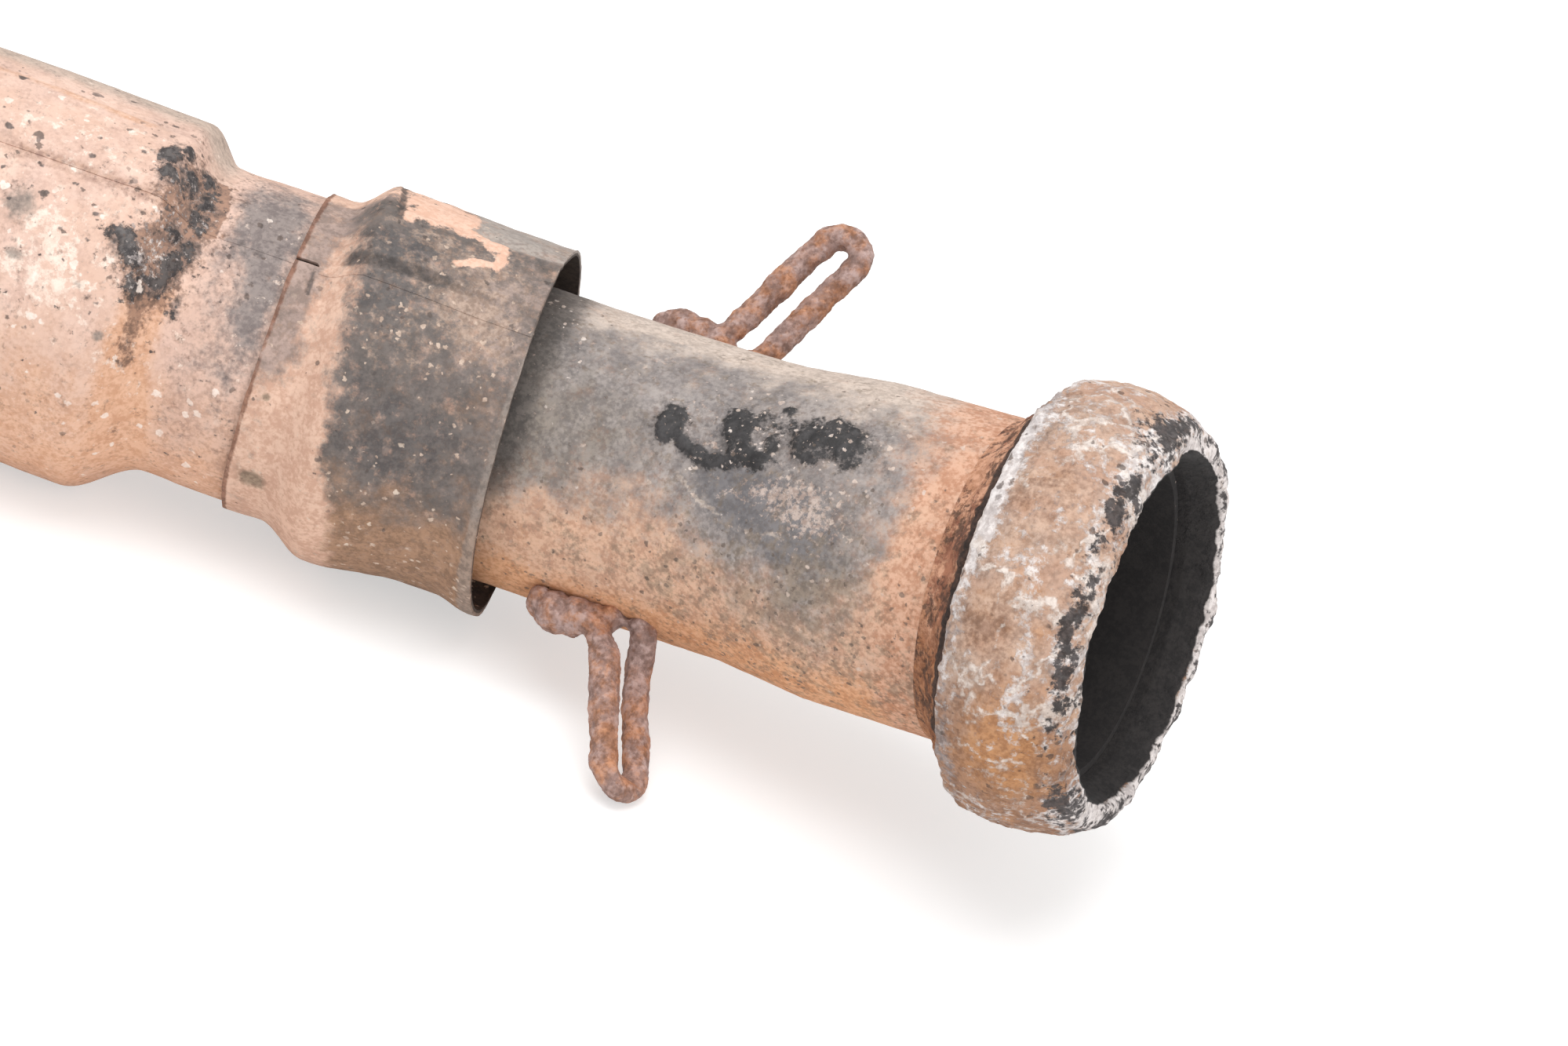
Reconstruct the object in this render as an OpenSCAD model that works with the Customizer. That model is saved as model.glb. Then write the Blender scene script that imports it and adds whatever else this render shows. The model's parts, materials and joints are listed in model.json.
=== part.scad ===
// Head pipe of a small vehicle's exhaust: a bent steel tube with an expanded
// open end, a stop collar and a doughnut gasket, two welded spring hooks, and
// two clamshell heat shields over the straight run.
//
// Frame: origin on the tube's axis at its plain rear end, +X along the straight
// run, +Z up. The rear shield and the lower hook rest on the floor, so the open
// end turns towards -Y and rises. Stations are lengths along the centreline,
// counted from the rear end.

/* [Tube] */
// Outer diameter of the tube
tube_od = 50.8; // [40:0.1:64]
// Wall of the tube
tube_wall = 1.5; // [1:0.1:3]
// Plain tube left bare behind the rear shield
rear_stub = 60; // [30:1:200]
// Straight run past the seam between the two shields
straight_past_seam = 31; // [20:1:60]
// Radius of the bend, on the centreline
bend_r = 130; // [90:1:300]
// Angle of the bend
bend_angle = 24; // [5:1:45]
// Straight run between the bend and the expanded end
run_to_flare = 2; // [1:1:80]
// Length of the cone that opens the tube to its expanded end
flare_len = 16; // [8:1:40]
// Growth of the tube's outer diameter at its expanded end
end_growth = 3; // [0.5:0.1:8]
// Length of the expanded end
end_len = 46; // [38:1:90]

/* [Gasket and collar] */
// Length of the doughnut gasket
gasket_len = 21.3; // [16:0.1:32]
// Height of the gasket's widest ring above the expanded end
gasket_height = 9.6; // [6:0.1:16]
// Height of the gasket's back face above the expanded end
gasket_back_height = 8; // [4:0.1:9.5]
// Radius of the gasket's round outer face, seen in section
gasket_bulge_r = 20.6; // [14:0.1:30]
// How far the gasket stands past the end of the tube
gasket_proud = 5.9; // [0:0.1:8]
// Clearance between the gasket and the tube
gasket_clearance = 0.15; // [0.05:0.05:0.5]
// Length of the stop collar behind the gasket
collar_len = 5.6; // [3:0.1:12]
// Height of the collar's front face above the expanded end
collar_height = 5.3; // [3:0.1:9]
// Thickness of the collar's rim
collar_rim = 1.4; // [0.8:0.1:3]
// Height of the collar's back edge above the tube
collar_back_step = 0.7; // [0.3:0.1:2]

/* [Heat shields] */
// Sheet thickness of the shields
sheet = 1; // [0.6:0.1:2]
// Clearance between a shield's neck and the tube
neck_clearance = 0.4; // [0.2:0.1:0.8]
// Clearance where the front shield laps over the rear one
lap_clearance = 0.1; // [0.05:0.05:0.4]
// Height of the rear shield's full-width part above the tube
rear_shield_height = 7.4; // [5:0.1:20]
// Length of the rear shield's full-width part
rear_body_len = 150; // [60:1:400]
// Length of a neck of the rear shield
neck_len = 16; // [8:1:40]
// Length of a sloping shoulder between a neck and the full width
shoulder_len = 8; // [4:0.5:20]
// Height of the front shield above the tube, at its shoulder
front_shield_height = 6.3; // [4.5:0.1:15]
// Height of the front shield above the tube, at its front edge
front_edge_height = 4.7; // [3.5:0.1:12]
// Length of the front shield's lap over the neck
lap_len = 6; // [3:0.5:14]
// Length of the front shield's shoulder
front_shoulder_len = 6.6; // [3:0.2:16]
// Length of the front shield from its shoulder to its front edge
front_barrel_len = 31; // [15:1:45]
// Turn of the shields' parting line about the tube, from the inner side of the bend
parting_angle = 26; // [0:1:90]

/* [Spring hooks] */
// Diameter of the hook's rod
hook_rod = 4.1; // [3:0.1:6]
// Slot between the two legs of a hook
hook_slot = 3; // [2:0.1:8]
// Height of a hook above the tube
hook_height = 30; // [20:0.5:45]
// Lean of a hook towards the open end
hook_lean = 22; // [0:1:35]
// Turn of the hooks about the tube, towards the inner side of the bend
hook_turn = 17; // [0:1:40]
// Distance of the lower hook's leg behind the cone of the expanded end
lower_hook_back = 16.3; // [8:0.1:24]
// Distance of the upper hook's leg behind the cone of the expanded end
upper_hook_back = 16.6; // [8:0.1:24]
// Length of a hook's welded foot
hook_foot = 7.5; // [5:0.5:14]
// Inside radius of the bend between the foot and the leg
hook_bend = 2.5; // [1:0.1:5]
// Radius of the weld bead along the foot
bead_r = 3.2; // [2.6:0.1:5]
// How far the weld bead runs past the end of the foot
bead_overrun = 1.5; // [0.5:0.1:4]
// Clearance between a hook's weld and the tube, where the bend comes closest
seat_clearance = 0.04; // [0.02:0.01:0.2]
// How far behind its legs a hook's straight foot touches the bend
seat_shift = 5; // [0:0.5:10]

/* [Hidden] */
$fn = 96;
eps = 1;

// A bend is a hair fatter than the straight rod or tube that runs a little way into it
step = 0.02;
run_in = 0.1;

tube_r = tube_od / 2;
end_r = tube_r + end_growth / 2;

// Stations along the centreline, from the rear end
shield_back = rear_stub;
body_back = shield_back + neck_len + shoulder_len;
body_front = body_back + rear_body_len;
seam = body_front + shoulder_len + neck_len;
lap_under = seam + lap_len - 0.5;
bend_at = seam + straight_past_seam;
bend_end = bend_at + bend_r * bend_angle * PI / 180;
flare_at = bend_end + run_to_flare;
end_at = flare_at + flare_len;
tube_end = end_at + end_len;
gasket_at = tube_end + gasket_proud - gasket_len;
collar_at = gasket_at - collar_len;
lower_hook_at = flare_at - lower_hook_back;
upper_hook_at = flare_at - upper_hook_back;

// Radii of the gasket, the collar and the shields
gasket_r = end_r + gasket_height;
gasket_back_r = end_r + gasket_back_height;
collar_r = end_r + collar_height;
neck_r = tube_r + neck_clearance + sheet;
body_r = tube_r + rear_shield_height;
lap_r = neck_r + lap_clearance + sheet;
barrel_r = tube_r + front_shield_height;
front_edge_r = tube_r + front_edge_height;

// The hook's rod, in the plane of the hook: x along the tube, z out from its axis
rod_r = hook_rod / 2;
turn_r = (hook_rod + hook_slot) / 2;
foot_bend_r = hook_bend + rod_r;
seat_reach = seat_shift + turn_r + hook_rod;
seat_r = tube_r + seat_clearance + pow(seat_reach, 2) / (2 * bend_r) * sin(hook_turn);
foot_z = seat_r + rod_r + 2 * step;
turn_z = tube_r + hook_height - rod_r - turn_r;
turn_x = seat_shift + (turn_z - tube_r) * tan(hook_lean);
leg_up = [sin(hook_lean), cos(hook_lean)];
leg_side = [cos(hook_lean), -sin(hook_lean)];
back_leg_top = [turn_x, turn_z] - turn_r * leg_side;
front_leg_top = [turn_x, turn_z] + turn_r * leg_side;
back_leg_len = (back_leg_top[1] - foot_z - foot_bend_r * (1 - sin(hook_lean))) / cos(hook_lean);
front_leg_len = (front_leg_top[1] - tube_r + rod_r) / cos(hook_lean);
back_leg_low = back_leg_top - back_leg_len * leg_up;
front_leg_low = front_leg_top - front_leg_len * leg_up;
foot_bend_c = back_leg_low - foot_bend_r * leg_side;

// Turn of the pipe about the straight run's axis that sets the lower hook on the floor:
// the height of the hook's lowest point is halved in on until it is nil
hook_bend_turn = (lower_hook_at - seat_shift - bend_at) / bend_r * 180 / PI;
hook_y = bend_r * (1 - cos(hook_bend_turn)) + turn_x * sin(hook_bend_turn)
         + turn_z * sin(hook_turn) * cos(hook_bend_turn);
hook_z = turn_z * cos(hook_turn);
function hook_drop(a) = norm([sin(a) * sin(hook_bend_turn),
                              cos(a) * cos(hook_turn) - sin(a) * sin(hook_turn) * cos(hook_bend_turn)]);
function hook_clear(a) = body_r + hook_y * sin(a) - hook_z * cos(a) - turn_r * hook_drop(a) - rod_r;
function rest_turn(low, high, steps) =
    let (mid = (low + high) / 2)
    steps == 0 ? mid : hook_clear(mid) < 0 ? rest_turn(mid, high, steps - 1)
                                           : rest_turn(low, mid, steps - 1);
roll = rest_turn(0, 80, 30);

// Lays children down as the pipe rests
module resting() {
    rotate([180 - roll, 0, 0])
        children();
}

// Puts children at a station, with x along the tube and y to the inner side of the bend
module at_station(s) {
    turned = min(max(s - bend_at, 0) / bend_r * 180 / PI, bend_angle);
    past = min(s - bend_at, 0) + max(s - bend_end, 0);
    translate([bend_at, bend_r, 0])
        rotate([0, 0, turned])
            translate([past, -bend_r, 0])
                children();
}

// A body of revolution about the tube's axis: the outline is [radius, length along x]
module turned_ring(start = 0, sweep = 360) {
    rotate([0, 90, 0])
        rotate([0, 0, start])
            rotate_extrude(angle = sweep)
                children();
}

// The tube's outline filled solid, shrunk by the given amount
module tube_solid(inset = 0, overrun = 0) {
    run_r = tube_r - inset;
    open_r = end_r - inset;
    end_run = run_to_flare + flare_len + end_len;
    translate([-overrun, 0, 0])
        rotate([0, 90, 0])
            cylinder(h = bend_at + overrun + run_in, r = run_r);
    translate([bend_at, bend_r, 0])
        rotate([0, 0, -90])
            rotate_extrude(angle = bend_angle)
                translate([bend_r, 0])
                    circle(r = run_r + step);
    at_station(bend_end)
        turned_ring()
            polygon([
                [0, -run_in],
                [run_r, -run_in],
                [run_r, run_to_flare],
                [open_r, run_to_flare + flare_len],
                [open_r, end_run + overrun],
                [0, end_run + overrun]
            ]);
}

module exhaust_tube() {
    color("slategray")
        resting()
            difference() {
                tube_solid();
                tube_solid(tube_wall, eps);
            }
}

module stop_collar() {
    color("saddlebrown")
        resting()
            at_station(collar_at)
                turned_ring()
                    polygon([
                        [end_r, 0],
                        [end_r + collar_back_step, 0],
                        [collar_r, collar_len - collar_rim],
                        [collar_r, collar_len],
                        [end_r, collar_len]
                    ]);
}

// A ring with a round outer face that is widest past its middle
module gasket_ring() {
    round_r = gasket_r - gasket_bulge_r;
    widest_at = sqrt(pow(gasket_bulge_r, 2) - pow(gasket_back_r - round_r, 2));
    bore_r = end_r + gasket_clearance;
    color("rosybrown")
        resting()
            at_station(gasket_at)
                turned_ring()
                    intersection() {
                        translate([round_r, widest_at])
                            circle(r = gasket_bulge_r);
                        translate([bore_r, 0])
                            square([gasket_r, gasket_len]);
                    }
}

// One rod: a foot along the tube, a leg, a U turn and a leg back, with a weld bead
module spring_hook() {
    foot_back = foot_bend_c[0] - hook_foot;
    translate([foot_back, 0, foot_z])
        rotate([0, 90, 0])
            cylinder(h = hook_foot + run_in, r = rod_r);
    translate([foot_bend_c[0], 0, foot_bend_c[1]])
        rotate([90, 0, 0])
            rotate([0, 0, -90])
                rotate_extrude(angle = 90 - hook_lean)
                    translate([foot_bend_r, 0])
                        circle(r = rod_r + step);
    leg(back_leg_low - run_in * leg_up, back_leg_len + 2 * run_in);
    translate([turn_x, 0, turn_z])
        rotate([90, 0, 0])
            rotate([0, 0, -hook_lean])
                rotate_extrude(angle = 180)
                    translate([turn_r, 0])
                        circle(r = rod_r + step);
    leg(front_leg_low, front_leg_len + run_in);
    translate([foot_back - bead_overrun, 0, tube_r])
        rotate([0, 90, 0])
            cylinder(h = hook_foot, r = bead_r);
}

module leg(low, length) {
    translate([low[0], 0, low[1]])
        rotate([0, hook_lean, 0])
            cylinder(h = length, r = rod_r);
}

// A hook cut back to a hair above the tube's surface
module seated_hook(s, side) {
    color("sienna")
        resting()
            at_station(s - seat_shift)
                rotate([side - hook_turn, 0, 0])
                    difference() {
                        spring_hook();
                        translate([-hook_height, 0, 0])
                            rotate([0, 90, 0])
                                cylinder(h = 2 * hook_height, r = seat_r);
                    }
}

module spring_hook_lower() {
    seated_hook(lower_hook_at, 0);
}

module spring_hook_upper() {
    seated_hook(upper_hook_at, 180);
}

// Half of a shield: a sheet whose outer face follows the given [radius, station] points
module half_shield(outline, start) {
    inner = [for (i = [len(outline) - 1:-1:0]) [outline[i][0] - sheet, outline[i][1]]];
    turned_ring(start, 180)
        polygon(concat(outline, inner));
}

rear_outline = [
    [neck_r, shield_back],
    [neck_r, shield_back + neck_len],
    [body_r, body_back],
    [body_r, body_front],
    [neck_r, body_front + shoulder_len],
    [neck_r, lap_under]
];

front_outline = [
    [lap_r, seam],
    [lap_r, seam + lap_len],
    [barrel_r, seam + lap_len + front_shoulder_len],
    [front_edge_r, seam + lap_len + front_shoulder_len + front_barrel_len]
];

lower_half = 90 - parting_angle;
upper_half = lower_half + 180;

module rear_shield_lower() {
    color("tan")
        resting()
            half_shield(rear_outline, lower_half);
}

module rear_shield_upper() {
    color("burlywood")
        resting()
            half_shield(rear_outline, upper_half);
}

module front_shield_lower() {
    color("dimgray")
        resting()
            half_shield(front_outline, lower_half);
}

module front_shield_upper() {
    color("gray")
        resting()
            half_shield(front_outline, upper_half);
}

exhaust_tube();
stop_collar();
gasket_ring();
spring_hook_lower();
spring_hook_upper();
rear_shield_lower();
rear_shield_upper();
front_shield_lower();
front_shield_upper();
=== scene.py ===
"""Looks of a weathered exhaust head pipe.

A bent steel tube with an expanded open end, a rusty stop collar, a crusted doughnut gasket,
two rod spring hooks and two clamshell heat shields lapped along a raised seam.
"""
import json
from itertools import product
from math import acos, atan2, pi, radians

import bpy
import numpy as np
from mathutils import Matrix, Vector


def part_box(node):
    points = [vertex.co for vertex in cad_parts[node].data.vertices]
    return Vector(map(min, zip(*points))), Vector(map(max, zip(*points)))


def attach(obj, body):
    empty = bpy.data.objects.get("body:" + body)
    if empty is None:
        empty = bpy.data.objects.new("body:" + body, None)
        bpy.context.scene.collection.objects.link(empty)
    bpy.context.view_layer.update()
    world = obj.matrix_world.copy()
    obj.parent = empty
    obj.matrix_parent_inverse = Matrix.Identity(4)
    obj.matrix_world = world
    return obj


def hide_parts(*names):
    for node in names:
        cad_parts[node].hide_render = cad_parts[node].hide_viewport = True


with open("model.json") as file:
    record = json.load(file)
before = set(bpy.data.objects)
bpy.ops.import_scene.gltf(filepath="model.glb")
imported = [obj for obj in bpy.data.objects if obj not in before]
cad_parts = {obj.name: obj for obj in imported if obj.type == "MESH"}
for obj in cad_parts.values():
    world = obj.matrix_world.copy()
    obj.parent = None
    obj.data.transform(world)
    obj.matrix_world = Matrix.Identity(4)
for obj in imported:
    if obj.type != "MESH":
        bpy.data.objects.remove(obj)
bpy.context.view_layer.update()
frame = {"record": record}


MM = 0.001
MOUNTS = {mount["name"]: mount for mount in frame["record"]["mounts"]}

# ---------------------------------------------------------------- the pipe's own measure
# Stations run along the centreline in mm from the rear end, and marks are placed by their
# station past the seam between the shields and their turn about the tube in degrees:
# 0 faces the inner side of the bend, and 90 and -90 lie near the lower and the upper hook.
OPEN_AXIS = MOUNTS["open_end_bore"]["axis"]
BEND = acos(OPEN_AXIS[0])
ROLL = atan2(OPEN_AXIS[2], -OPEN_AXIS[1])
BEND_R = 130.0
BEND_AT = MOUNTS["rear_bore"]["dims"]["length_mm"]
BEND_END = BEND_AT + BEND_R * BEND
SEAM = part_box("front_shield_lower")[0].x / MM
SHIELD_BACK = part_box("rear_shield_lower")[0].x / MM
WALL = 1.5
TUBE_R = MOUNTS["rear_bore"]["dims"]["r_mm"] + WALL
END_R = MOUNTS["open_end_bore"]["dims"]["r_mm"] + WALL
STRAIGHT_AFTER_BEND = 2.0
CONE_LEN = 16.0
FLARE_AT = BEND_END + STRAIGHT_AFTER_BEND
END_AT = FLARE_AT + CONE_LEN
TUBE_END = END_AT + MOUNTS["open_end_bore"]["dims"]["length_mm"]
GASKET_LEN = 21.3
GASKET_PAST_TUBE = 5.9
GASKET_BACK_R = 34.9
GASKET_AT = TUBE_END + GASKET_PAST_TUBE - GASKET_LEN
COLLAR_LEN = 5.6
COLLAR_AT = GASKET_AT - COLLAR_LEN
SHEET = 1.0
NECK_GAP = 0.4
LAP_GAP = 0.1
NECK_R = TUBE_R + NECK_GAP + SHEET
BODY_R = 32.8
REAR_UNDER_LAP = 5.4
FRONT_LEN = 43.6
FRONT_SKEW = 0.042
# The halves part at the turn PARTING and opposite it, and their joggle is LAP_WIDTH degrees wide.
PARTING = -26.0
LAP_WIDTH = 27.0
# Radii at which some of the rear shield's marks are measured round the tube.
BODY_MARK_R = 32
NECK_MARK_R = 27


def on_pipe(station, turn, radius):
    """Points in metres from a station on the centreline, a turn about it and a radius out from it.

    The centreline is straight, then an arc of radius BEND_R through BEND, then straight. The
    section stays square to it, and the whole is rolled about X to the way the pipe rests.
    """
    turn = np.radians(turn)
    bent = np.clip((station - BEND_AT) / BEND_R, 0, BEND)
    past = np.minimum(station - BEND_AT, 0) + np.maximum(station - BEND_END, 0)
    side = radius * np.cos(turn)
    x = BEND_AT + BEND_R * np.sin(bent) + past * np.cos(bent) - side * np.sin(bent)
    y = BEND_R * (1 - np.cos(bent)) + past * np.sin(bent) + side * np.cos(bent)
    z = radius * np.sin(turn)
    world_y = -y * np.cos(ROLL) - z * np.sin(ROLL)
    world_z = y * np.sin(ROLL) - z * np.cos(ROLL)
    return np.stack(np.broadcast_arrays(x, world_y, world_z), -1) * MM


# ---------------------------------------------------------------- noise and fields
def lattice(x, y, z, seed):
    """A repeatable value from -1 to 1 for each whole-number lattice point, by mixing its bits."""
    mixed = (x * 374761393 + y * 668265263 + z * 1442695041 + seed * 974711) & 0xFFFFFFFF
    mixed = ((mixed ^ (mixed >> 13)) * 1274126177) & 0xFFFFFFFF
    return ((mixed ^ (mixed >> 16)) & 0xFFFF) / 32767.5 - 1


def lumps(points, size, seed):
    """Smooth noise from -1 to 1: lattice values spaced size mm apart, eased between in x, y, z."""
    grid = points / (size * MM)
    low = np.floor(grid).astype(np.int64)
    part = grid - low
    blend = part * part * part * (part * (part * 6 - 15) + 10)
    total = 0
    for dx, dy, dz in product((0, 1), repeat=3):
        weight = 1
        for axis, step in enumerate((dx, dy, dz)):
            weight = weight * (blend[..., axis] if step else 1 - blend[..., axis])
        total = total + weight * lattice(low[..., 0] + dx, low[..., 1] + dy, low[..., 2] + dz, seed)
    return total


def rough(points, size, seed, octaves=4):
    """Layers of lumps, each half the size and half the height of the one before."""
    total = 0
    for level in range(octaves):
        total = total + lumps(points, size / 2 ** level, seed + 17 * level) / 2 ** level
    return total


def ease(low, high, value):
    """0 below low, 1 above high, and a smooth S between."""
    part = np.clip((value - low) / (high - low), 0, 1)
    return part * part * (3 - 2 * part)


def spot(u, turn, radius, at, half_len, half_width, tilt=0.0):
    """1 in the middle of an oval mark on the surface, 0.5 at its edge, and 0 well outside.

    at is (station past the seam, turn in degrees); lengths are mm along and round the tube.
    """
    along = u - at[0]
    around = radius * np.radians((turn - at[1] + 180) % 360 - 180)
    lean = radians(tilt)
    long = (along * np.cos(lean) + around * np.sin(lean)) / half_len
    wide = (-along * np.sin(lean) + around * np.cos(lean)) / half_width
    return 1 / (1 + (long * long + wide * wide) ** 1.5)


def marks(place, *ovals):
    """The sum of oval marks, each given as (strength, station, turn, half length, half width, tilt).

    place is the (station past the seam, turn, radius) of every point; a tilt of 0 is left out.
    """
    return sum(oval[0] * spot(*place, oval[1:3], *oval[3:]) for oval in ovals)


def strongest(place, *ovals):
    """Like marks, but the strongest oval at each point, so that neighbours join without adding up."""
    return np.max([oval[0] * spot(*place, oval[1:3], *oval[3:]) for oval in ovals], 0)


def line_mark(u, turn, radius, points, half_width):
    """1 on a line drawn through (station past the seam, turn) points, fading at half_width mm."""
    nearest = np.full(np.broadcast(u, turn).shape, 1e9)
    across = radius * np.radians(turn)
    for (u0, t0), (u1, t1) in zip(points[:-1], points[1:]):
        y0, y1 = radius * radians(t0), radius * radians(t1)
        du, dy = u1 - u0, y1 - y0
        part = np.clip(((u - u0) * du + (across - y0) * dy) / (du ** 2 + dy ** 2), 0, 1)
        nearest = np.minimum(nearest, np.hypot(u - u0 - part * du, across - y0 - part * dy))
    return 1 - ease(half_width * 0.4, half_width, nearest)


# ---------------------------------------------------------------- mesh building
def placed(name, data):
    """A new object that holds the data, linked to the scene."""
    item = bpy.data.objects.new(name, data)
    bpy.context.scene.collection.objects.link(item)
    return item


def mesh_object(name, points, faces, node, fields):
    """A mesh piece that stands for a CAD node, with its surface fields stored on its points."""
    mesh = bpy.data.meshes.new(name)
    flat = points.reshape(-1, 3)
    if signed_volume(flat, faces) < 0:
        faces = faces[:, ::-1]
    mesh.from_pydata(flat.tolist(), [], faces.tolist())
    mesh.polygons.foreach_set("use_smooth", np.ones(len(faces), bool))
    store_fields(mesh, fields)
    mesh.set_sharp_from_angle(angle=radians(55))
    mesh.update()
    piece = placed(name, mesh)
    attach(piece, "root")
    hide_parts(node)
    return piece


def store_fields(mesh, fields):
    """Stores each field on the mesh's points, where the materials read it by its name."""
    for name, values in fields.items():
        layer = mesh.attributes.new(name, "FLOAT", "POINT")
        layer.data.foreach_set("value", np.ascontiguousarray(values, np.float32).ravel())


def signed_volume(flat, faces):
    """Six times the volume of a closed mesh of quads, positive when its faces point outwards."""
    a, b, c, d = (flat[faces[:, k]] for k in range(4))
    return float((np.cross(a, b) * c).sum() + (np.cross(a, c) * d).sum())


def loop_faces(rows, columns, closed):
    """Quads of a grid whose rows close into a loop.

    The columns close into a ring, or else each end is capped by pairing the outer half of the
    loop with its inner half.
    """
    wide = np.arange(columns if closed else columns - 1)
    row, column = np.meshgrid(np.arange(rows), wide, indexing="ij")
    next_row, next_column = (row + 1) % rows, (column + 1) % columns
    corners = (row * columns + column, next_row * columns + column,
               next_row * columns + next_column, row * columns + next_column)
    faces = np.stack([c.ravel() for c in corners], -1)
    if closed:
        return faces
    out = np.arange(rows // 2 - 1)
    inner, last = rows - 1 - out, columns - 1
    first_cap = np.stack([out + 1, out, inner, inner - 1], -1) * columns
    last_cap = np.stack([out, out + 1, inner - 1, inner], -1) * columns + last
    return np.concatenate([faces, first_cap, last_cap])


def raised(points, height, closed):
    """A grid's points moved along their normals by height mm.

    A normal is the cross product of the grid's steps round the tube and along the loop.
    """
    along = np.roll(points, -1, 0) - np.roll(points, 1, 0)
    if closed:
        around = np.roll(points, -1, 1) - np.roll(points, 1, 1)
    else:
        around = np.gradient(points, axis=1)
    normal = np.cross(around, along)
    normal = normal / np.maximum(np.linalg.norm(normal, axis=-1, keepdims=True), 1e-12)
    return points + normal * height[..., None] * MM


def dense_loop(outline, step):
    """A closed outline of (station, radius) corners, with points every step mm along its sides."""
    stations, radii = [], []
    for (s0, r0), (s1, r1) in zip(outline, outline[1:] + outline[:1]):
        count = max(int(round(np.hypot(s1 - s0, r1 - r0) / step)), 1)
        part = np.arange(count) / count
        stations.append(s0 + (s1 - s0) * part)
        radii.append(r0 + (r1 - r0) * part)
    return np.concatenate(stations), np.concatenate(radii)


# ---------------------------------------------------------------- the pieces
def exhaust_tube():
    """The tube: its outer side from end to end, then its bore back, turned about the centreline.

    Radius is TUBE_R, opened by a cone to END_R, and WALL less in the bore.
    """
    shown = SEAM + 36
    stations = np.concatenate([np.linspace(0, SHIELD_BACK + 6, 40),
                               np.linspace(SHIELD_BACK + 12, shown, 26),
                               np.linspace(shown + 0.7, TUBE_END, 205)])
    bore_at = np.concatenate([np.linspace(0, 20, 8), np.linspace(26, END_AT - 6, 30),
                              np.linspace(END_AT, TUBE_END, 22)])
    s = np.concatenate([stations, bore_at[::-1]])[:, None]
    outer = (np.arange(len(s)) < len(stations))[:, None]
    r = np.interp(s, [FLARE_AT, END_AT], [TUBE_R, END_R]) - np.where(outer, 0, WALL)
    turn = np.linspace(-180, 180, 290, endpoint=False)[None, :]
    s, r, turn, outer = np.broadcast_arrays(s, r, turn, outer)
    points = on_pipe(s, turn, r)
    fields, height = tube_fields(s, turn, r, outer, points)
    return mesh_object("tube_skin", raised(points, height, True), loop_faces(*s.shape, True),
                       "exhaust_tube", fields)


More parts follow.
